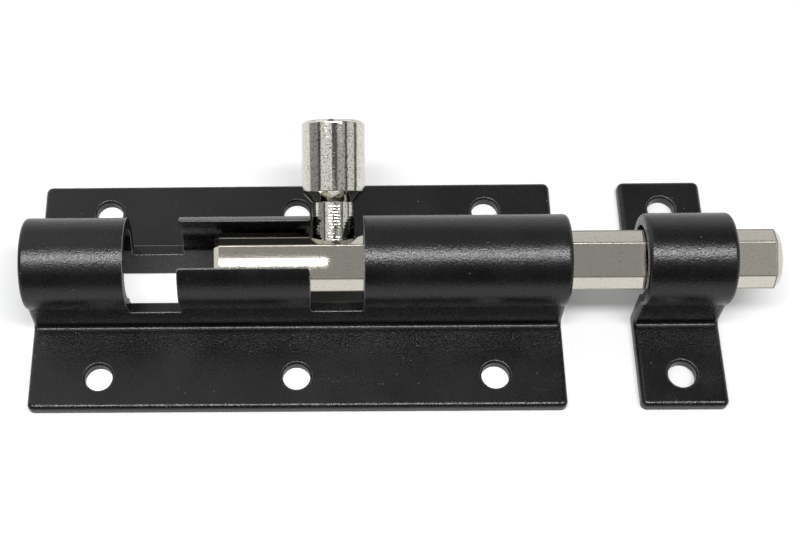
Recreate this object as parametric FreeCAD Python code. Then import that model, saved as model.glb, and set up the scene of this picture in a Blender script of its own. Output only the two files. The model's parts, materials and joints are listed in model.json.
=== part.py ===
import FreeCAD, Part
import math
import os

# Door bolt: a folded sheet case, a matching keeper, a chamfered square bar and the turned knob screwed into it.
# Millimetres. Origin: middle of the case's screw pattern on its back face.
# X runs along the bar towards the keeper, Y runs back across the flanges, Z points away from the door.

# Sheet of the case and the keeper
sheet = 2.1                  # thickness, coat included
fold_radius = 0.6            # radius between neck and flange, on the side that shows
back_corner = 0.5            # radius of the same fold on the door's side, pressed tight
throat_radius = 0.5          # inner radius where the neck opens out into the barrel
neck_gap = 10.2              # inside width between the two neck walls
neck_straight = 6.6          # flat height of a neck wall, between its two bends
flange_reach = 16.8          # neck wall to the flange's outer edge
edge_round = 0.85            # rounding of the sheet's outer edges
corner_radius = 1.2          # rounding of the flange corners, seen from above

# Case
case_length = 100.0
open_notch_start = 19.0      # case's tail end to the notch that holds the knob when the bolt is drawn back
bolt_travel = 33.8           # how far the bolt is thrown, notch to notch
notch_into_neck = 1.5        # how far both notches reach down the straight neck walls
lip_radius = 0.6             # rounded corners of the slot's lips
notch_corner = 0.4           # small radius at the foot of a notch

# Screw holes
hole_diameter = 5.2
hole_edge_margin = 6.3       # hole centre to the flange's long edge
hole_end_margin = 13.0       # end holes' centres to the ends of the case
rim_bevel = 0.35             # broken edge round a hole

# Keeper
keeper_length = 16.0
keeper_gap = 13.5            # end of the case to the keeper

# Bar
bar_flats = 10.8             # across the flats
bar_flat_width = 6.1         # width of each main flat, between the chamfers
bar_tail = 21.9              # knob's axis to the tail end
bar_nose = 80.85             # knob's axis to the foot of the domed nose
tail_chamfer = 0.95
nose_chamfer = 1.15
dome_height = 1.2
bar_edge_round = 0.2         # softened long edges

# Knob
knob_lean = 28.0             # degrees above the door, leaning back
neck_diameter = 7.8
neck_length = 5.6            # bar's flat to the cone under the head
cone_height = 1.9
head_diameter = 11.7
head_height = 13.05
head_chamfer = 0.5
stud_diameter = 6.0
stud_length = 3.0            # stud beyond the neck's shoulder
seat_depth = 2.0             # how far the neck's shoulder sits below the bar's flat
seat_angle = 118.0           # full angle of the countersunk seat that opens out round the neck

# Clearances
bore_clearance = 0.2         # bar's corners to the bore of case and keeper, when centred
bar_rest_gap = 0.08          # what is left of it where the bar lies in the bore
knob_play = 0.95             # knob's neck to each side of the slot and the notches
knob_side_gap = 0.45         # knob's neck to the tail side of its notch, as it stands
thread_gap = 0.05            # knob's neck and stud to their holes in the bar

# Worked out from the sizes above
bar_corner_radius = math.hypot(bar_flats / 2, bar_flat_width / 2)
bore_radius = bar_corner_radius + bore_clearance
barrel_radius = bore_radius + sheet
sheet_middle = sheet / 2
neck_middle = neck_gap / 2 + sheet_middle
fold_middle_radius = fold_radius + sheet_middle
throat_middle_radius = throat_radius + sheet_middle
barrel_middle_radius = bore_radius + sheet_middle
throat_height = sheet + fold_radius + neck_straight
throat_reach = neck_middle + throat_middle_radius
barrel_rise = math.sqrt((barrel_middle_radius + throat_middle_radius) ** 2 - throat_reach ** 2)
barrel_height = throat_height + barrel_rise
throat_angle = math.atan2(barrel_rise, throat_reach)
flange_edge = neck_gap / 2 + sheet + flange_reach
hole_row = flange_edge - hole_edge_margin
case_start = -case_length / 2
keeper_start = case_length / 2 + keeper_gap
cut_width = neck_diameter + 2 * knob_play
notch_floor = throat_height - notch_into_neck
open_notch = case_start + open_notch_start
lock_notch = open_notch + bolt_travel
knob_x = lock_notch + knob_side_gap + neck_diameter / 2
bar_height = barrel_height - bore_clearance + bar_rest_gap
bar_start = knob_x - bar_tail
top_clear = 2 * barrel_radius    # height of a cutting tool that reaches past everything


def point(x, y, z):
    return FreeCAD.Vector(x, y, z)


def arc_across(x, centre_y, centre_z, radius, start, end):
    """Arc in the plane across the bar, angles in radians from +Y towards +Z."""
    middle = (start + end) / 2
    through = [point(x, centre_y + radius * math.cos(a), centre_z + radius * math.sin(a)) for a in (start, middle, end)]
    return Part.Arc(*through).toShape()


def sheet_side(x, offset):
    """One face of the folded sheet seen end on, at this offset outwards from the sheet's middle."""
    neck_y = neck_middle + offset
    fold = fold_radius if offset > 0 else back_corner
    throat = throat_middle_radius - offset
    flange_z = sheet_middle + offset
    fold_z = flange_z + fold
    fold_y = neck_y + fold
    half_turn = math.pi
    edges = []
    edges.append(Part.makeLine(point(x, flange_edge, flange_z), point(x, fold_y, flange_z)))
    edges.append(arc_across(x, fold_y, fold_z, fold, -half_turn / 2, -half_turn))
    edges.append(Part.makeLine(point(x, neck_y, fold_z), point(x, neck_y, throat_height)))
    edges.append(arc_across(x, throat_reach, throat_height, throat, half_turn, half_turn - throat_angle))
    edges.append(arc_across(x, 0, barrel_height, barrel_middle_radius + offset,
                            -throat_angle, half_turn + throat_angle))
    edges.append(arc_across(x, -throat_reach, throat_height, throat, throat_angle, 0))
    edges.append(Part.makeLine(point(x, -neck_y, throat_height), point(x, -neck_y, fold_z)))
    edges.append(arc_across(x, -fold_y, fold_z, fold, 0, -half_turn / 2))
    edges.append(Part.makeLine(point(x, -fold_y, flange_z), point(x, -flange_edge, flange_z)))
    return edges


def folded_sheet(start, length):
    """The folded blank: two flanges, two neck walls and the barrel, all one sheet."""
    edges = sheet_side(start, sheet_middle) + sheet_side(start, -sheet_middle)
    for side in (1, -1):
        edges.append(Part.makeLine(point(start, side * flange_edge, 0), point(start, side * flange_edge, sheet)))
    outline = Part.Wire(Part.__sortEdges__(edges))
    blank = Part.Face(outline).extrude(point(length, 0, 0))
    return round_outline(round_corners(blank), start, length)


def is_vertical(edge):
    ends = edge.Vertexes
    return len(ends) == 2 and abs(ends[0].X - ends[1].X) < 1e-6 and abs(ends[0].Y - ends[1].Y) < 1e-6


def round_corners(blank):
    """Rounds the four flange corners seen from above."""
    corners = [e for e in blank.Edges if is_vertical(e) and abs(abs(e.CenterOfMass.y) - flange_edge) < 1e-6]
    return blank.makeFillet(corner_radius, corners)


def round_outline(blank, start, length):
    """Softens the upper edge all round: along both flanges, round their corners and over the barrel's ends."""
    end = start + length
    outline = []
    for edge in blank.Edges:
        box = edge.BoundBox
        on_end = abs(box.XMin - box.XMax) < 1e-6 and min(abs(box.XMin - start), abs(box.XMax - end)) < 1e-6
        outer = distance_outwards(edge) > sheet - 1e-4
        flange_rim = box.ZMin > sheet - 1e-6 and box.ZMax < sheet + 1e-6
        near_edge = abs(edge.CenterOfMass.y) > flange_edge - corner_radius
        if (on_end and outer) or (flange_rim and near_edge):
            outline.append(edge)
    return blank.makeFillet(edge_round, outline)


def distance_outwards(edge):
    """How far the middle of an edge lies outwards from the sheet's inner face, for edges across the bar."""
    middle = edge.valueAt((edge.FirstParameter + edge.LastParameter) / 2)
    y = abs(middle.y)
    z = middle.z
    fold_y = neck_middle + fold_middle_radius
    fold_z = sheet_middle + fold_middle_radius
    if y >= fold_y:
        return z
    if z <= fold_z:
        return fold_middle_radius + sheet_middle - math.hypot(fold_y - y, fold_z - z)
    if z <= throat_height:
        return y - neck_gap / 2
    if math.atan2(barrel_height - z, y) > throat_angle:
        return throat_middle_radius + sheet_middle - math.hypot(throat_reach - y, z - throat_height)
    return math.hypot(y, z - barrel_height) - bore_radius


def drill(body, places):
    """Drills the screw holes and breaks their upper rims."""
    for x in places:
        for side in (1, -1):
            tool = Part.makeCylinder(hole_diameter / 2, 3 * sheet, point(x, side * hole_row, -sheet))
            body = body.cut(tool)
    rims = [e for e in body.Edges if is_hole_rim(e)]
    return body.makeChamfer(rim_bevel, rims)


def is_hole_rim(edge):
    round_edge = isinstance(edge.Curve, Part.Circle) and abs(edge.Curve.Radius - hole_diameter / 2) < 1e-6
    return round_edge and abs(edge.CenterOfMass.z - sheet) < 1e-6


def notch_tool(start):
    """Cuts the barrel right away, down into both neck walls."""
    width = 4 * barrel_radius
    tool = Part.makeBox(cut_width, width, top_clear, point(start, -width / 2, notch_floor))
    foot = [e for e in tool.Edges if e.BoundBox.YLength > width / 2 and e.CenterOfMass.z < notch_floor + 1e-6]
    return tool.makeFillet(notch_corner, foot)


def slot_tool():
    """Cuts the knob's slot along the top of the barrel, from notch to notch."""
    length = lock_notch - open_notch
    return Part.makeBox(length, cut_width, top_clear, point(open_notch, -cut_width / 2, barrel_height))


def round_lips(case):
    """Rounds the four upright corners of the two lips that are left between the notches."""
    ends = (open_notch + cut_width, lock_notch)
    corners = []
    for edge in case.Edges:
        middle = edge.CenterOfMass
        at_end = min(abs(middle.x - ends[0]), abs(middle.x - ends[1])) < 1e-4
        if is_vertical(edge) and at_end and abs(abs(middle.y) - cut_width / 2) < 1e-4:
            corners.append(edge)
    return case.makeFillet(lip_radius, corners)


def make_case():
    case = folded_sheet(case_start, case_length)
    end_hole = case_length / 2 - hole_end_margin
    case = drill(case, (-end_hole, 0, end_hole))
    case = case.cut(slot_tool())
    for start in (open_notch, lock_notch):
        case = case.cut(notch_tool(start))
    return round_lips(case)


def make_keeper():
    keeper = folded_sheet(keeper_start, keeper_length)
    return drill(keeper, (keeper_start + keeper_length / 2,))


def knob_direction():
    lean = math.radians(knob_lean)
    return point(0, math.cos(lean), math.sin(lean))


def bar_section(x):
    """Square with chamfered corners, one main flat square to the knob."""
    half = bar_flats / 2
    flat = bar_flat_width / 2
    corners = []
    for side in range(4):
        for shift in (-flat, flat):
            distance = math.hypot(half, shift)
            angle = math.radians(knob_lean + 90 * side) + math.atan2(shift, half)
            corners.append(point(x, distance * math.cos(angle), bar_height + distance * math.sin(angle)))
    return Part.Face(Part.makePolygon(corners + corners[:1]))


def chamfer_end(bar, x, size):
    rim = [e for e in bar.Edges if e.BoundBox.XLength < 1e-6 and abs(e.CenterOfMass.x - x) < 1e-6]
    return bar.makeChamfer(size, rim)


def nose_dome(x):
    """Shallow round crown on the nose, as wide as the chamfer leaves."""
    base = bar_flats / 2 - nose_chamfer
    ball = (base ** 2 + dome_height ** 2) / (2 * dome_height)
    centre = point(x + dome_height - ball, 0, bar_height)
    crown = Part.makeSphere(ball, centre)
    keep = Part.makeCylinder(base, 2 * dome_height, point(x - dome_height / 2, 0, bar_height), point(1, 0, 0))
    return crown.common(keep)


def make_bar():
    nose = knob_x + bar_nose
    bar = bar_section(bar_start).extrude(point(nose - bar_start, 0, 0))
    bar = chamfer_end(bar, bar_start, tail_chamfer)
    bar = chamfer_end(bar, nose, nose_chamfer)
    long_edges = [e for e in bar.Edges if e.BoundBox.XLength > bar_tail]
    bar = bar.makeFillet(bar_edge_round, long_edges)
    return bar.fuse(nose_dome(nose)).cut(knob_hole())


def knob_hole():
    """Countersunk seat for the neck and the hole for its stud, in the flat that faces the knob."""
    flat = bar_flats / 2
    shoulder = flat - seat_depth
    neck = neck_diameter / 2 + thread_gap
    stud = stud_diameter / 2 + thread_gap
    bottom = shoulder - stud_length - thread_gap
    mouth = neck + flat * math.tan(math.radians(seat_angle / 2))
    axis = point(knob_x, 0, bar_height)
    hole = Part.makeCylinder(stud, flat - bottom, axis + knob_direction() * bottom, knob_direction())
    seat = Part.makeCone(neck, mouth, flat, axis + knob_direction() * shoulder, knob_direction())
    return hole.fuse(seat)


def make_knob():
    """Turned in one piece about its own axis, then leaned back over the bar."""
    neck_foot = bar_flats / 2 - seat_depth
    neck_top = bar_flats / 2 + neck_length
    head_foot = neck_top + cone_height
    head_top = head_foot + head_height
    stud = stud_diameter / 2
    neck = neck_diameter / 2
    head = head_diameter / 2
    profile = ((0, neck_foot - stud_length), (stud, neck_foot - stud_length), (stud, neck_foot))
    profile += ((neck, neck_foot), (neck, neck_top), (head, head_foot))
    profile += ((head, head_top - head_chamfer), (head - head_chamfer, head_top), (0, head_top))
    points = [point(radius, 0, height) for radius, height in profile]
    half = Part.Face(Part.makePolygon(points + points[:1]))
    knob = half.revolve(point(0, 0, 0), point(0, 0, 1), 360)
    knob.rotate(point(0, 0, 0), point(1, 0, 0), knob_lean - 90)
    knob.translate(point(knob_x, 0, bar_height))
    return knob


def save(name, shape):
    solids = shape.Solids
    print(name, len(solids), "solid", round(shape.Volume, 1), "mm3", "valid" if shape.isValid() else "NOT VALID")
    solids[0].exportStep("parts/" + name + ".step")


os.makedirs("parts", exist_ok=True)
print("barrel height", round(barrel_height, 3), "bar height", round(bar_height, 3), "knob x", round(knob_x, 3))
save("case", make_case())
save("keeper", make_keeper())
save("bolt_bar", make_bar())
save("knob", make_knob())
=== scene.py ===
import json
import math

import bmesh
import bpy
from mathutils import Matrix, Vector


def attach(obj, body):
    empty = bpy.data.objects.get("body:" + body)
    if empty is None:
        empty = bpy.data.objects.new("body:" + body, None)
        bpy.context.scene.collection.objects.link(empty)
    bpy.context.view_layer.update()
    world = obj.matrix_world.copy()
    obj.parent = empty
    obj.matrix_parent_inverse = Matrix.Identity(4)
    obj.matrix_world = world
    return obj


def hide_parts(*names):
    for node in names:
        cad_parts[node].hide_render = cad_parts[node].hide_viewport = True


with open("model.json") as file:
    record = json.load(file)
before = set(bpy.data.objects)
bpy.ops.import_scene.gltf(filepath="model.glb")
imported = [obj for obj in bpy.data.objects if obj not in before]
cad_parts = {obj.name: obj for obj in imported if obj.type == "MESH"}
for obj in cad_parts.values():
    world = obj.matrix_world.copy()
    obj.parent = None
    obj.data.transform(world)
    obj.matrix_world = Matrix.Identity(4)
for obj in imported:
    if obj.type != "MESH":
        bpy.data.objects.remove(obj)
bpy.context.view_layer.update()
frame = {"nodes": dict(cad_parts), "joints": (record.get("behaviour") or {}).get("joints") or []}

nodes = frame["nodes"]
boltTurn = next(joint for joint in frame["joints"] if joint["name"] == "bolt_turn")
boltAxis = Vector(boltTurn["pos_m"])        # on the bar's axis, where the knob's own axis meets it
mm = 0.001


# helpers for objects and node trees: an input is given a value, or a socket that it is linked to

def addObject(name, data):
    thing = bpy.data.objects.new(name, data)
    bpy.context.collection.objects.link(thing)
    return thing


def fill(tree, node, inputs):
    for key, value in inputs.items():
        if isinstance(value, bpy.types.NodeSocket):
            tree.links.new(value, node.inputs[key])
        else:
            node.inputs[key].default_value = value


def addNode(tree, kind, spot=(0, 0), inputs=None, **values):
    node = tree.nodes.new(kind)
    node.location = spot
    for key, value in values.items():
        setattr(node, key, value)
    fill(tree, node, inputs or {})
    return node


def mathNode(tree, operation, *values, spot=(0, 0)):
    return addNode(tree, "ShaderNodeMath", spot, dict(enumerate(values)), operation=operation).outputs[0]


def vectorNode(tree, operation, *values, spot=(0, 0)):
    return addNode(tree, "ShaderNodeVectorMath", spot, dict(enumerate(values)), operation=operation).outputs


def rangeNode(tree, value, fromRange, toRange=(0.0, 1.0), easing="SMOOTHSTEP", spot=(0, 0)):
    ends = zip(("From Min", "From Max", "To Min", "To Max"), (*fromRange, *toRange))
    inputs = {"Value": value, **dict(ends)}
    return addNode(tree, "ShaderNodeMapRange", spot, inputs, interpolation_type=easing).outputs["Result"]


def splitVector(tree, vector, spot=(0, 0)):
    return addNode(tree, "ShaderNodeSeparateXYZ", spot, {0: vector}).outputs


def offCentre(tree, value, middle, spot=(0, 0)):
    apart = mathNode(tree, "SUBTRACT", value, middle, spot=spot)
    return mathNode(tree, "ABSOLUTE", apart, spot=(spot[0] + 150, spot[1]))


def outsideBox(tree, parts, axes, middles, halves, fades, spot=(0, 0)):
    outside = 0.0
    for axis, middle, half, fade in zip(axes, middles, halves, fades):
        beside = rangeNode(tree, offCentre(tree, parts[axis], middle, spot), (half - fade, half), spot=spot)
        outside = mathNode(tree, "MAXIMUM", beside, outside, spot=spot)
    return outside


def mixValues(tree, share, first, second, spot=(0, 0)):
    inputs = {"Factor": share, "A": first, "B": second}
    return addNode(tree, "ShaderNodeMix", spot, inputs, data_type="FLOAT").outputs[0]


def mixColours(tree, share, first, second, spot=(0, 0)):
    inputs = {"Factor": share, 6: first, 7: (*second, 1)}       # 6 and 7 are the node's two colours
    return addNode(tree, "ShaderNodeMix", spot, inputs, data_type="RGBA").outputs[2]


def rampNode(tree, factor, places, colours, spot=(0, 0)):
    node = addNode(tree, "ShaderNodeValToRGB", spot, {0: factor})
    for element, place, colour in zip(node.color_ramp.elements, places, colours):
        element.position = place
        element.color = (*colour, 1)
    return node.outputs[0]


def noiseNode(tree, vector, scale, detail, spot=(0, 0)):
    inputs = {"Vector": vector, "Scale": scale, "Detail": detail}
    return addNode(tree, "ShaderNodeTexNoise", spot, inputs).outputs[0]


def newMaterial(name):
    material = bpy.data.materials.new(name)
    material.use_nodes = True
    tree = material.node_tree
    tree.nodes.clear()
    shader = addNode(tree, "ShaderNodeBsdfPrincipled", (600, 0))
    addNode(tree, "ShaderNodeOutputMaterial", (900, 0), {0: shader.outputs[0]})
    return material, tree, shader


def newGroup(name, values, results):
    group = bpy.data.node_groups.new(name, "ShaderNodeTree")
    group.interface.new_socket("Vector", in_out="INPUT", socket_type="NodeSocketVector")
    for label, value in values.items():
        socket = group.interface.new_socket(label, in_out="INPUT", socket_type="NodeSocketFloat")
        socket.default_value = value
    for label in results:
        group.interface.new_socket(label, in_out="OUTPUT", socket_type="NodeSocketFloat")
    entry = addNode(group, "NodeGroupInput", (-900, 0))
    leave = addNode(group, "NodeGroupOutput", (900, 0))
    return group, entry.outputs, leave


def placeGroup(tree, group, vector, spot, values=None):
    inputs = {"Vector": vector, **(values or {})}
    return addNode(tree, "ShaderNodeGroup", spot, inputs, node_tree=group).outputs


# camera, at the photograph's viewing angle

cameraSettings = {
    "place": (5.388 * mm, -130.284 * mm, 254.796 * mm),
    "pitch": 62.0,          # degrees below the horizon
    "yaw": -2.713,
    "roll": -2.831,
    "lens": 66.69,
    "sensor": 36.0,
    "shiftX": 0.1354,       # the lens's axis isn't in the middle of the photograph
    "nearest": 0.01,
}


def makeCamera(settings):
    pitch, yaw, roll = (math.radians(settings[key]) for key in ("pitch", "yaw", "roll"))
    level = Vector((math.sin(yaw), math.cos(yaw), 0))
    forward = level * math.cos(pitch) - Vector((0, 0, math.sin(pitch)))
    flatRight = Vector((math.cos(yaw), -math.sin(yaw), 0))
    flatUp = flatRight.cross(forward)
    right = math.cos(roll) * flatRight + math.sin(roll) * flatUp
    up = -math.sin(roll) * flatRight + math.cos(roll) * flatUp
    data = bpy.data.cameras.new("photoCamera")
    data.lens = settings["lens"]
    data.sensor_width = settings["sensor"]
    data.shift_x = settings["shiftX"]
    data.clip_start = settings["nearest"]
    camera = addObject("photoCamera", data)
    turn = Matrix((right, up, -forward)).transposed().to_4x4()
    camera.matrix_world = Matrix.Translation(settings["place"]) @ turn
    bpy.context.scene.camera = camera


makeCamera(cameraSettings)
print("camera set")


# floor

floorSettings = {
    "size": 6.0,
    "drop": 0.0001,                     # keeps it clear of the flanges' undersides
    "colour": (0.64, 0.64, 0.636),
    "roughness": 0.8,
    "specular": 0.1,
    "middle": (0.02, 0.0, 0.0),
    "whiteLift": (0.12, 1.00),          # light that only the camera sees, by the object and far off
    "liftReach": (0.085, 0.32),
    "underLift": 0.40,                  # and more under the case, where its holes show it
    "underHalf": (0.052, 0.024),
    "underFade": 0.004,
    "laneMiddle": (0.0145, 0.0),        # but not in the dark lane under the bolt
    "laneHalf": (0.0315, 0.007),
    "laneFade": (0.002, 0.001),
}


def makeFloor(settings):
    half = settings["size"] / 2
    corners = [(x * half, y * half, -settings["drop"]) for x, y in ((-1, -1), (1, -1), (1, 1), (-1, 1))]
    mesh = bpy.data.meshes.new("floorSheet")
    mesh.from_pydata(corners, [], [(0, 1, 2, 3)])
    floor = addObject("floorSheet", mesh)
    material, tree, shader = newMaterial("paleFloor")
    mesh.materials.append(material)
    place = addNode(tree, "ShaderNodeTexCoord", (-900, -500)).outputs["Object"]
    parts = splitVector(tree, place, (-700, -500))
    under = settings["underLift"]
    for axis, reach in zip("XY", settings["underHalf"]):
        away = mathNode(tree, "ABSOLUTE", parts[axis], spot=(-500, -400))
        within = rangeNode(tree, away, (reach - settings["underFade"], reach), (1.0, 0.0), spot=(-300, -400))
        under = mathNode(tree, "MULTIPLY", within, under, spot=(-100, -400))
    away = vectorNode(tree, "DISTANCE", place, settings["middle"], spot=(-500, -900))["Value"]
    white = rangeNode(tree, away, settings["liftReach"], settings["whiteLift"], spot=(-300, -900))
    lane = (settings["laneMiddle"], settings["laneHalf"], settings["laneFade"])
    clear = outsideBox(tree, parts, "XY", *lane, spot=(-300, -650))
    lift = mathNode(tree, "ADD", under, white, spot=(100, -500))
    lift = mathNode(tree, "MULTIPLY", lift, clear, spot=(250, -500))
    seen = addNode(tree, "ShaderNodeLightPath", (200, -700)).outputs["Is Camera Ray"]
    lift = mathNode(tree, "MULTIPLY", seen, lift, spot=(400, -500))
    fill(tree, shader, {
        "Base Color": (*settings["colour"], 1), "Roughness": settings["roughness"],
        "Specular IOR Level": settings["specular"],
        "Emission Color": (1, 1, 1, 1), "Emission Strength": lift})


# the room that the metal mirrors: places in it are parts of a direction, and the camera sees plain white

roomSettings = {
    "tint": (0.985, 0.993, 1.0),
    "backHorizon": 1.08,                # its brightness low behind the object
    "backHigh": (1.05, 0.12),           # and above that, from its left to its right
    "backSides": (-0.24, 0.27),
    "backRise": (0.15, 0.80),
    "front": 0.10,                      # and on the camera's side
    "frontToBack": (0.0, 0.42),
    "standMiddle": (-0.068, 0.46),      # a dark stand behind, sideways and upwards
    "standHalf": (0.075, 0.24),
    "standFade": (0.01125, 0.036),
    "standStart": (0.1, 0.3),
    "standDark": 0.03,
}


def makeRoom(settings):
    world = bpy.data.worlds.new("studioWorld")
    bpy.context.scene.world = world
    world.use_nodes = True
    tree = world.node_tree
    tree.nodes.clear()
    heading = addNode(tree, "ShaderNodeTexCoord", (-900, 0)).outputs["Generated"]
    parts = splitVector(tree, heading, (-700, 0))
    high = rangeNode(tree, parts["X"], settings["backSides"], settings["backHigh"], spot=(-500, 100))
    rise = rangeNode(tree, parts["Z"], settings["backRise"], spot=(-500, 300))
    behind = mixValues(tree, rise, settings["backHorizon"], high, (-300, 200))
    share = rangeNode(tree, parts["Y"], settings["frontToBack"], spot=(-500, -100))
    strength = mixValues(tree, share, settings["front"], behind, (-100, 100))
    stand = (settings["standMiddle"], settings["standHalf"], settings["standFade"])
    clear = outsideBox(tree, parts, "XZ", *stand, spot=(-500, -400))
    nearer = rangeNode(tree, parts["Y"], settings["standStart"], (1.0, 0.0), spot=(-500, -600))
    clear = mathNode(tree, "MAXIMUM", clear, nearer, spot=(-200, -400))
    clear = mathNode(tree, "MAXIMUM", clear, settings["standDark"], spot=(-50, -400))
    level = mathNode(tree, "MULTIPLY", strength, clear, spot=(100, 0))
    inputs = {"Color": (*settings["tint"], 1), "Strength": level}
    room = addNode(tree, "ShaderNodeBackground", (300, 0), inputs)
    white = addNode(tree, "ShaderNodeBackground", (300, -200), {"Color": (1, 1, 1, 1)})
    seen = addNode(tree, "ShaderNodeLightPath", (300, 400)).outputs["Is Camera Ray"]
    mix = addNode(tree, "ShaderNodeMixShader", (500, 0), {0: seen, 1: room.outputs[0], 2: white.outputs[0]})
    addNode(tree, "ShaderNodeOutputWorld", (700, 0), {0: mix.outputs[0]})


# lamps: elevation is measured up from the front of the door, swing towards the keeper

def overhead(elevation, swing=0.0):
    rise, turn = math.radians(elevation), math.radians(swing)
    upright = Vector((0, -math.cos(rise), math.sin(rise)))
    return upright * math.cos(turn) + Vector((math.sin(turn), 0, 0))


lamps = [
    {"name": "longSoftbox", "outward": overhead(77.5), "size": (1.2, 0.17), "glow": 26.0,
     "target": (0.05, 0, 0.014), "colour": (0.985, 0.995, 1.0)},
    {"name": "nearLeftPanel", "outward": overhead(64, -26.5), "size": (0.83, 0.60), "glow": 0.70},
    {"name": "farLeftPanel", "outward": overhead(64, -74), "size": (0.64, 0.90), "glow": 0.20},
    {"name": "nearRightPanel", "outward": overhead(64, 28), "size": (0.54, 0.60), "glow": 0.34},
    {"name": "farRightPanel", "outward": overhead(64, 66), "size": (0.58, 0.80), "glow": 0.60},
    {"name": "lowPanel", "outward": overhead(62.75, 3.6), "size": (0.48, 0.062), "glow": 0.25,
     "distance": 1.0, "target": (0.0, 0.0, 0.0185)},
    {"name": "neckPanel", "outward": overhead(64.1, 1.0), "size": (0.13, 0.026), "glow": 0.9,
     "distance": 1.0, "target": (0.007, 0.006, 0.0175)},
    {"name": "stripCard", "outward": (-0.0375, -0.4625, 0.8858), "size": (0.100, 0.0056), "glow": 5.0,
     "distance": 1.0, "target": (-0.005, -0.0028, 0.0185)},
]


def makeLamp(name, outward, size, glow, distance=1.1, target=(0.02, 0, 0.012), colour=(1, 1, 1)):
    data = bpy.data.lights.new(name, "AREA")
    data.shape = "RECTANGLE"
    data.size, data.size_y = size
    data.energy = glow * math.pi * size[0] * size[1]      # glow is the panel's own brightness
    data.color = colour
    outward = Vector(outward).normalized()
    side = (Vector((1, 0, 0)) - outward * outward.x).normalized()
    turn = Matrix((side, outward.cross(side), outward)).transposed().to_4x4()
    addObject(name, data).matrix_world = Matrix.Translation(Vector(target) + outward * distance) @ turn


makeFloor(floorSettings)
makeRoom(roomSettings)
for lamp in lamps:
    makeLamp(**lamp)
print("floor, room and lamps set")


# effects that more than one finish uses; their scales are in waves or cells per metre

def makeOrangePeel():
    values = {"Ripple Scale": 3300.0, "Grit Scale": 5600.0, "Grit Share": 0.5, "Blotch Scale": 90.0}
    group, given, leave = newGroup("orangePeel", values, ["Height", "Blotch"])
    ripple = noiseNode(group, given["Vector"], given["Ripple Scale"], detail=1.0, spot=(-500, 200))
    grit = noiseNode(group, given["Vector"], given["Grit Scale"], detail=1.0, spot=(-500, -50))
    blotch = noiseNode(group, given["Vector"], given["Blotch Scale"], detail=4.0, spot=(-500, -300))
    height = mathNode(group, "MULTIPLY_ADD", grit, given["Grit Share"], ripple, spot=(0, 100))
    fill(group, leave, {"Height": height, "Blotch": blotch})
    return group


def makeDust():
    values = {"Speck Scale": 1500.0, "Speck Width": 0.17, "Patch Scale": 45.0, "Amount": 0.16}
    group, given, leave = newGroup("dustSpecks", values, ["Mask"])
    inputs = {"Vector": given["Vector"], "Scale": given["Speck Scale"]}
    cells = addNode(group, "ShaderNodeTexVoronoi", (-600, 100), inputs).outputs
    patches = noiseNode(group, given["Vector"], given["Patch Scale"], detail=3.0, spot=(-600, -200))
    near = mathNode(group, "LESS_THAN", cells["Distance"], given["Speck Width"], spot=(-300, 100))
    pick = addNode(group, "ShaderNodeSeparateColor", (-400, -50), {0: cells["Color"]}).outputs[0]
    wanted = mathNode(group, "MULTIPLY", patches, given["Amount"], spot=(-300, -200))
    few = mathNode(group, "LESS_THAN", pick, wanted, spot=(-100, -100))
    fill(group, leave, {"Mask": mathNode(group, "MULTIPLY", near, few, spot=(100, 0))})
    return group


def makePitting():
    values = {
        "Pit Scale": 2600.0, "Cloud Scale": 260.0, "Pit Depth": 1.0, "Waviness": 0.5,
        "Deepest": 0.34, "Shallowest": 0.46,
    }
    group, given, leave = newGroup("platePitting", values, ["Pits", "Cloud", "Height"])
    pits = noiseNode(group, given["Vector"], given["Pit Scale"], detail=3.0, spot=(-600, 200))
    cloud = noiseNode(group, given["Vector"], given["Cloud Scale"], detail=1.0, spot=(-600, -100))
    deep = rangeNode(group, pits, (given["Deepest"], given["Shallowest"]), easing="LINEAR", spot=(-300, 200))
    soft = mathNode(group, "MULTIPLY", cloud, given["Waviness"], spot=(-200, -100))
    height = mathNode(group, "MULTIPLY_ADD", deep, given["Pit Depth"], soft, spot=(100, 0))
    fill(group, leave, {"Pits": deep, "Cloud": cloud, "Height": height})
    return group


def makeEdgeFinder():
    group, given, leave = newGroup("edgeFinder", {"Least": 0.02, "Most": 0.20}, ["Edge"])
    flat = addNode(group, "ShaderNodeNewGeometry", (-600, -100)).outputs["Normal"]
    same = vectorNode(group, "DOT_PRODUCT", given["Vector"], flat, spot=(-400, 0))["Value"]
    turned = mathNode(group, "SUBTRACT", 1.0, same, spot=(-200, 0))        # 0 on a flat face
    edge = rangeNode(group, turned, (given["Least"], given["Most"]), easing="LINEAR")
    fill(group, leave, {"Edge": edge})
    return group


edgeFinder = makeEdgeFinder()
orangePeel = makeOrangePeel()
dustSpecks = makeDust()
platePitting = makePitting()


def roundedEdge(tree, settings, spot):
    inputs = {"Radius": settings["edgeRound"]}
    return addNode(tree, "ShaderNodeBevel", spot, inputs, samples=settings["edgeSamples"]).outputs[0]


# black powder coat

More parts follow.
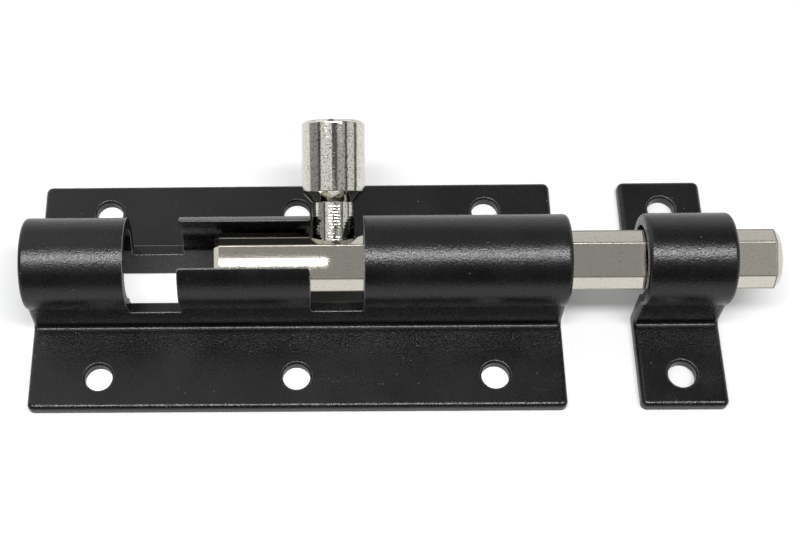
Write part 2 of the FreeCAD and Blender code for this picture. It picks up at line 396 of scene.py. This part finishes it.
coatSettings = {
    "colours": ((0.0022, 0.0022, 0.0023), (0.0048, 0.0048, 0.0049)),
    "colourSpread": (0.35, 0.7),        # where the two stand in the blotches
    "roughness": (0.22, 0.30),
    "roughSpread": (0.3, 0.7),
    "meanHeight": 0.75,                 # of the orange peel
    "grain": 0.23,                      # how much the gloss goes up and down with it
    "glossiest": 0.10,
    "bump": 0.23,
    "bumpReach": 0.0002,
    "ior": 1.46,
    "edgeRound": 0.0004,                # the coat runs round over every cut edge
    "edgeSamples": 8,
    "thinCoatAndSheen": (0.20, 0.20, 0.195),        # and draws thin there; the lighter colour along the edges is partly that thinner coat and partly a painted highlight
    "dust": (0.10, 0.10, 0.097),
    "dustRough": 0.3,
    "dustAndGlints": (0.04, 0.16),              # how thick the pale specks lie, away from the front fold and along it: dust all over, and along the fold also painted glints
    "coarse": 4.2,                      # how much coarser the coat has run along that fold
    "stripY": (-0.0150, -0.0090, -0.0080),      # where that strip starts, is fullest and ends
    "stripZ": (0.0022, 0.0034),         # it lies on the flange and fades out above it
}


def makeCoat(name, settings, seedShift):
    material, tree, shader = newMaterial(name)
    place = addNode(tree, "ShaderNodeTexCoord", (-1700, 0)).outputs["Object"]
    where = vectorNode(tree, "ADD", place, seedShift, spot=(-1500, 0))[0]
    parts = splitVector(tree, place, (-1500, -500))
    start, fullest, end = settings["stripY"]
    grows = rangeNode(tree, parts["Y"], (start, fullest), spot=(-1300, -400))
    stops = rangeNode(tree, parts["Y"], (fullest, end), (1.0, 0.0), spot=(-1300, -600))
    low = rangeNode(tree, parts["Z"], settings["stripZ"], (1.0, 0.0), spot=(-1300, -800))
    strip = mathNode(tree, "MULTIPLY", grows, stops, spot=(-1150, -500))
    strip = mathNode(tree, "MULTIPLY", strip, low, spot=(-1000, -600))
    coarser = mathNode(tree, "MULTIPLY_ADD", strip, settings["coarse"] - 1, 1.0, spot=(-850, -600))
    # the extra pale specks along the fold are dust and painted glints
    least, most = settings["dustAndGlints"]
    amount = mathNode(tree, "MULTIPLY_ADD", strip, most - least, least, spot=(-850, -400))
    peel = placeGroup(tree, orangePeel, where, (-700, 100))
    specks = placeGroup(tree, dustSpecks, where, (-700, -250), {"Amount": amount})["Mask"]

    edge = roundedEdge(tree, settings, (-500, -500))
    rim = placeGroup(tree, edgeFinder, edge, (-300, -500))["Edge"]
    colour = rampNode(tree, peel["Blotch"], settings["colourSpread"], settings["colours"], (-500, 300))
    colour = mixColours(tree, specks, colour, settings["dust"], (-200, 200))
    # edges painted lighter: partly the thin coat's own colour, partly a painted highlight of the rounding
    colour = mixColours(tree, rim, colour, settings["thinCoatAndSheen"], (0, 200))

    gloss = (settings["roughSpread"], settings["roughness"])
    rough = rangeNode(tree, peel["Blotch"], *gloss, "LINEAR", (-500, 0))
    grain = mathNode(tree, "SUBTRACT", peel["Height"], settings["meanHeight"], spot=(-500, -250))
    grain = mathNode(tree, "MULTIPLY", grain, coarser, spot=(-350, -250))
    rough = mathNode(tree, "MULTIPLY_ADD", grain, settings["grain"], rough, spot=(-200, -100))
    rough = mathNode(tree, "MAXIMUM", rough, settings["glossiest"], spot=(-50, -100))
    rough = mathNode(tree, "MULTIPLY_ADD", specks, settings["dustRough"], rough, spot=(100, -100))

    height = mathNode(tree, "MULTIPLY", peel["Height"], coarser, spot=(0, -400))
    inputs = {
        "Strength": settings["bump"], "Distance": settings["bumpReach"], "Height": height, "Normal": edge}
    bump = addNode(tree, "ShaderNodeBump", (200, -300), inputs).outputs[0]
    fill(tree, shader, {"Base Color": colour, "Roughness": rough, "Normal": bump, "IOR": settings["ior"]})
    return material


# nickel of the bar and of the knob

barSettings = {
    "colours": ((0.44, 0.41, 0.36), (0.66, 0.625, 0.555)),
    "colourSpread": (0.0, 0.55),        # where the two stand in the pits
    "plate": {"Pit Scale": 4200.0, "Cloud Scale": 2600.0, "Pit Depth": 0.4, "Waviness": 0.6},
    "roughness": (0.012, 0.022),
    "roughSpread": (0.3, 0.7),
    "bump": 0.006,
    "bumpReach": 0.00004,
    "edgeRound": 0.00022,
    "edgeSamples": 6,
    "edgeTurn": 0.12,                   # how far the rounded surface turns where an edge is darkest
    "corner": (0.20, 0.18, 0.15),       # colour that the plating turns along the edges
    "edgeMarks": {
        "longEdges": (0.00611, 0.00616),        # how far from the axis the bar's long edges begin
        "longMark": 0.75,
        "noseLine": (0.08670, 0.08708),         # where the plating is darker and rougher along the edge of the nose
        "noseFade": (0.3, 0.6),                 # from the middle of that line, in parts of its width
        "edgeDull": 0.30,
        "noseDull": 0.20,
    },
}
knobSettings = {
    **barSettings,
    "colours": ((0.34, 0.328, 0.295), (0.74, 0.72, 0.655)),
    "plate": {"Pit Scale": 3400.0, "Cloud Scale": 3400.0, "Pit Depth": 0.16, "Waviness": 0.8,
              "Deepest": 0.36, "Shallowest": 0.56},
    "roughness": (0.03, 0.055),
    "bump": 0.11,
    "bumpReach": 0.00008,
    "edgeRound": 0.0001,
    "corner": (0.25, 0.23, 0.20),
    "edgeMarks": None,
}


def makeEdgeMarks(tree, place, settings):
    across = vectorNode(tree, "MULTIPLY_ADD", place, (0, 1, 1), (0, 0, -boltAxis.z), spot=(-900, -700))[0]
    away = vectorNode(tree, "LENGTH", across, spot=(-700, -700))["Value"]
    marked = rangeNode(tree, away, settings["longEdges"], (0.0, settings["longMark"]), spot=(-500, -700))
    along = splitVector(tree, place, (-900, -900))["X"]
    start, end = settings["noseLine"]
    fade = [(end - start) * share for share in settings["noseFade"]]
    aside = offCentre(tree, along, (start + end) / 2, (-700, -900))
    line = rangeNode(tree, aside, fade, (1.0, 0.0), spot=(-500, -900))
    marked = mathNode(tree, "MAXIMUM", marked, line, spot=(-350, -800))
    blunt = rangeNode(tree, along, settings["noseLine"], (0.0, settings["noseDull"]), spot=(-500, -1100))
    dull = mathNode(tree, "MULTIPLY", marked, settings["edgeDull"], spot=(-200, -800))
    return marked, mathNode(tree, "MAXIMUM", dull, blunt, spot=(-50, -800))


def makeNickel(name, settings):
    material, tree, shader = newMaterial(name)
    place = addNode(tree, "ShaderNodeTexCoord", (-1300, 0)).outputs["Object"]
    plate = placeGroup(tree, platePitting, place, (-900, 0), settings["plate"])
    edge = roundedEdge(tree, settings, (-900, -400))
    edges = placeGroup(tree, edgeFinder, edge, (-700, -400), {"Most": settings["edgeTurn"]})["Edge"]
    gloss = (settings["roughSpread"], settings["roughness"])
    rough = rangeNode(tree, plate["Cloud"], *gloss, "LINEAR", (-500, 0))
    if settings["edgeMarks"]:
        marked, dull = makeEdgeMarks(tree, place, settings["edgeMarks"])
        edges = mathNode(tree, "MAXIMUM", marked, edges, spot=(-400, -400))
        rough = mathNode(tree, "ADD", rough, dull, spot=(100, -100))
    colour = rampNode(tree, plate["Pits"], settings["colourSpread"], settings["colours"], (-500, 300))
    # the colour is darker along the edges
    colour = mixColours(tree, edges, colour, settings["corner"], (-200, 200))
    inputs = {"Strength": settings["bump"], "Distance": settings["bumpReach"], "Height": plate["Height"]}
    bump = addNode(tree, "ShaderNodeBump", (200, -300), inputs).outputs[0]
    fill(tree, shader, {"Base Color": colour, "Roughness": rough, "Normal": bump, "Metallic": 1.0})
    return material


blackCoat = makeCoat("blackCoat", coatSettings, (0, 0, 0))
blackCoatKeeper = makeCoat("blackCoatKeeper", coatSettings, (0.31, 0.12, 0))
nickelBar = makeNickel("nickelBar", barSettings)
nickelKnob = makeNickel("nickelKnob", knobSettings)
print("finishes made")


# the knob, turned on a lathe: a node tree sweeps its outline round and cuts the rings on its neck

knobShape = {                   # millimetres; the outline is radius and height from the bar's axis
    "outline": [(0, 0.4), (2.98, 0.4), (2.98, 3.4), (3.89, 3.4), (3.89, 11.0), (5.84, 12.9),
                (5.84, 25.44), (5.34, 25.94), (0, 25.94)],
    "edgeRound": 0.12,
    "roundSteps": 5,
    "step": 0.09,
    "turns": 96,
    "ringPitch": 0.56,
    "ringDepth": 0.0154,
    "ringsFrom": 3.8,
    "ringsTo": 10.6,
    "weld": 0.001,
    "leanBack": -62.0,          # degrees from upright
}
latheInputs = {
    "Edge Round": "Float", "Step": "Float", "Turns": "Int", "Ring Pitch": "Float", "Ring Depth": "Float",
    "Rings From": "Float", "Rings To": "Float", "Lean": "Rotation", "Foot": "Vector", "Finish": "Material",
}


def newGeometryTree(name, kinds):
    tree = bpy.data.node_groups.new(name, "GeometryNodeTree")
    tree.interface.new_socket("Geometry", in_out="INPUT", socket_type="NodeSocketGeometry")
    tree.interface.new_socket("Geometry", in_out="OUTPUT", socket_type="NodeSocketGeometry")
    keys = {}
    for label, kind in kinds.items():
        socket = tree.interface.new_socket(label, in_out="INPUT", socket_type="NodeSocket" + kind)
        keys[label] = socket.identifier
    entry = addNode(tree, "NodeGroupInput", (-1600, 0))
    leave = addNode(tree, "NodeGroupOutput", (1900, 0))
    return tree, entry.outputs, leave, keys


def integerNode(tree, operation, first, second, spot):
    inputs = {0: first, 1: second}
    return addNode(tree, "FunctionNodeIntegerMath", spot, inputs, operation=operation).outputs[0]


# each point of the net takes its row's place on the outline and its column's angle

def lathePoint(tree, given, profile):
    stride = integerNode(tree, "ADD", given["Turns"], 1, (-800, -200))     # the last column closes the round
    count = addNode(tree, "GeometryNodeInputIndex", (-800, 0)).outputs[0]
    row = integerNode(tree, "DIVIDE_FLOOR", count, stride, (-600, 0))
    column = integerNode(tree, "MODULO", count, stride, (-600, -200))
    place = addNode(tree, "GeometryNodeInputPosition", (-600, 150)).outputs[0]
    inputs = {"Geometry": profile, "Value": place, "Index": row}
    values = {"data_type": "FLOAT_VECTOR", "domain": "POINT"}
    sample = addNode(tree, "GeometryNodeSampleIndex", (-400, 100), inputs, **values).outputs[0]
    share = mathNode(tree, "DIVIDE", column, given["Turns"], spot=(-400, -200))
    return sample, mathNode(tree, "MULTIPLY", share, 2 * math.pi, spot=(-200, -200)), stride


def ringCut(tree, given, height):
    cycle = mathNode(tree, "DIVIDE", height, given["Ring Pitch"], spot=(-100, -400))
    angle = mathNode(tree, "MULTIPLY", cycle, 2 * math.pi, spot=(50, -400))
    wave = mathNode(tree, "COSINE", angle, spot=(200, -400))
    hollow = mathNode(tree, "MULTIPLY_ADD", wave, -0.5, 0.5, spot=(350, -400))     # from 0 to 1
    above = mathNode(tree, "GREATER_THAN", height, given["Rings From"], spot=(50, -600))
    below = mathNode(tree, "LESS_THAN", height, given["Rings To"], spot=(50, -800))
    inside = mathNode(tree, "MULTIPLY", above, below, spot=(200, -700))
    depth = mathNode(tree, "MULTIPLY", hollow, given["Ring Depth"], spot=(500, -400))
    return mathNode(tree, "MULTIPLY", depth, inside, spot=(650, -400))


def makeLatheTree(roundSteps, weld):
    tree, given, leave, keys = newGeometryTree("turnedOutline", latheInputs)
    curve = addNode(tree, "GeometryNodeMeshToCurve", (-1400, 300), {0: given["Geometry"]}).outputs[0]
    inputs = {"Curve": curve, "Radius": given["Edge Round"], "Count": roundSteps, "Limit Radius": True}
    soft = addNode(tree, "GeometryNodeFilletCurve", (-1200, 300), inputs, mode="POLY").outputs[0]
    inputs = {"Curve": soft, "Length": given["Step"]}
    divided = addNode(tree, "GeometryNodeResampleCurve", (-1000, 300), inputs, mode="LENGTH").outputs[0]
    size = addNode(tree, "GeometryNodeAttributeDomainSize", (-600, 450), {0: divided}, component="CURVE")
    outlinePoint, angle, stride = lathePoint(tree, given, divided)
    inputs = {"Vertices X": size.outputs["Point Count"], "Vertices Y": stride}
    net = addNode(tree, "GeometryNodeMeshGrid", (-200, 400), inputs).outputs["Mesh"]

    parts = splitVector(tree, outlinePoint, (-200, 100))
    radius = mathNode(tree, "SUBTRACT", parts["X"], ringCut(tree, given, parts["Z"]), spot=(500, 100))
    cosine = mathNode(tree, "COSINE", angle, spot=(500, -50))
    sine = mathNode(tree, "SINE", angle, spot=(500, -200))
    inputs = {
        0: mathNode(tree, "MULTIPLY", radius, cosine, spot=(700, 100)),
        1: mathNode(tree, "MULTIPLY", radius, sine, spot=(700, -50)),
        2: parts["Z"],
    }
    place = addNode(tree, "ShaderNodeCombineXYZ", (850, 50), inputs).outputs[0]

    steps = [
        ("GeometryNodeSetPosition", {"Position": place}),
        ("GeometryNodeMergeByDistance", {"Distance": weld}),
        ("GeometryNodeSetShadeSmooth", {}),
        ("GeometryNodeTransform", {"Translation": given["Foot"], "Rotation": given["Lean"]}),
        ("GeometryNodeRealizeInstances", {}),
        ("GeometryNodeSetMaterial", {"Material": given["Finish"]}),
    ]
    shape = net
    for number, (kind, inputs) in enumerate(steps):
        shape = addNode(tree, kind, (1000 + 150 * number, 300), {"Geometry": shape, **inputs}).outputs[0]
    fill(tree, leave, {"Geometry": shape})
    return tree, keys


def keepMesh(maker, name, weld):
    graph = bpy.context.evaluated_depsgraph_get()
    mesh = bpy.data.meshes.new_from_object(maker.evaluated_get(graph), depsgraph=graph)
    mesh.name = name
    bpy.data.objects.remove(maker)
    work = bmesh.new()
    work.from_mesh(mesh)
    bmesh.ops.remove_doubles(work, verts=work.verts, dist=weld)
    bmesh.ops.dissolve_degenerate(work, edges=work.edges, dist=weld / 10)
    bmesh.ops.recalc_face_normals(work, faces=work.faces)
    print(name, len(work.faces), "faces,", sum(not edge.is_manifold for edge in work.edges), "open edges")
    work.to_mesh(mesh)
    work.free()
    return addObject(name, mesh)


def makeKnob(shape, finish):
    points = [(radius * mm, 0, height * mm) for radius, height in shape["outline"]]
    outline = bpy.data.meshes.new("knobOutline")
    outline.from_pydata(points, [(i, i + 1) for i in range(len(points) - 1)], [])
    maker = addObject("knobOutline", outline)
    weld = shape["weld"] * mm
    lathe = maker.modifiers.new("lathe", "NODES")
    lathe.node_group, keys = makeLatheTree(shape["roundSteps"], weld)
    values = {
        "Edge Round": shape["edgeRound"] * mm, "Step": shape["step"] * mm, "Turns": shape["turns"],
        "Ring Pitch": shape["ringPitch"] * mm, "Ring Depth": shape["ringDepth"] * mm,
        "Rings From": shape["ringsFrom"] * mm, "Rings To": shape["ringsTo"] * mm,
        "Lean": (math.radians(shape["leanBack"]), 0, 0), "Foot": tuple(boltAxis), "Finish": finish,
    }
    for label, value in values.items():
        lathe[keys[label]] = value
    return keepMesh(maker, "turnedKnob", weld)


knobPiece = makeKnob(knobShape, nickelKnob)
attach(knobPiece, "bolt")
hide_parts("knob")


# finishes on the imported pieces, whose meshes stay as they are

def dress(nodeName, material):
    for slot in nodes[nodeName].material_slots:
        slot.link = "OBJECT"
        slot.material = material


dress("case", blackCoat)
dress("keeper", blackCoatKeeper)
dress("bolt_bar", nickelBar)
print("case, keeper and bar dressed")

bpy.context.scene.view_settings.view_transform = "Standard"
print("scene ready")
